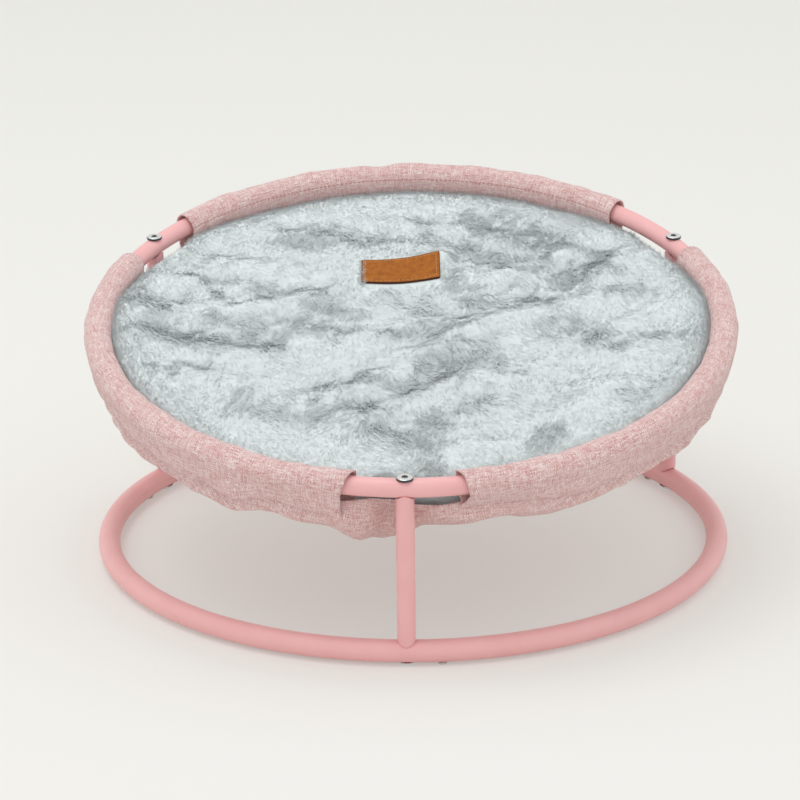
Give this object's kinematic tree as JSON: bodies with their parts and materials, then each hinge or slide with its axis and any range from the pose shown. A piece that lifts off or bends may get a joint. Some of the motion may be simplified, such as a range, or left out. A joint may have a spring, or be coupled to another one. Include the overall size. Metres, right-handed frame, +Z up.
{
  "type": "round raised pet bed",
  "caption": "Round pet bed: a tube stand with a tilted rim, a linen hammock sleeved onto the rim, and a loose plush cushion with a leather patch.",
  "frame": {"origin": "on the floor, under the middle of the bed's bounding box", "axes": "+Z up; the low front of the rim, with the front leg, faces -Y; +X is to the right seen from the front"},
  "size_m": [0.4499, 0.4601, 0.2251],
  "materials": {
    "pink_powder_coat": "satin pink powder coat on steel tube",
    "bush_steel": "plain turned steel",
    "bolt_chrome": "bright plated",
    "foot_rubber": "matt black rubber",
    "pink_linen": "coarse linen weave of pink, red and off-white threads",
    "grey_plush": "long soft pile, pale tips over darker grey roots",
    "tan_leather": "smooth tan leather, stitched round its edge, no lettering"
  },
  "bodies": {
    "stand": {"base_ring": "pink_powder_coat", "leg_front": "pink_powder_coat", "leg_back_right": "pink_powder_coat", "leg_back_left": "pink_powder_coat", "rim_arc_front": "pink_powder_coat", "rim_arc_back_right": "pink_powder_coat", "rim_arc_back_left": "pink_powder_coat", "bush_base_front": "bush_steel", "bush_base_back_right": "bush_steel", "bush_base_back_left": "bush_steel", "bush_rim_front": "bush_steel", "bush_rim_back_right": "bush_steel", "bush_rim_back_left": "bush_steel", "bolt_base_front": "bolt_chrome", "bolt_base_back_right": "bolt_chrome", "bolt_base_back_left": "bolt_chrome", "bolt_rim_front": "bolt_chrome", "bolt_rim_back_right": "bolt_chrome", "bolt_rim_back_left": "bolt_chrome", "foot_front": "foot_rubber", "foot_back_right": "foot_rubber", "foot_back_left": "foot_rubber", "sleeve_right": "pink_linen", "sleeve_back": "pink_linen", "sleeve_left": "pink_linen", "hammock_bowl": "pink_linen"},
    "cushion": {"cushion": "grey_plush", "leather_patch": "tan_leather"}
  },
  "joints": [
    {"name": "cushion_lift", "type": "slide", "parent": "stand", "child": "cushion", "axis": [0, -0.2045, 0.9789], "range_m": [0, 0.12]}
  ]
}
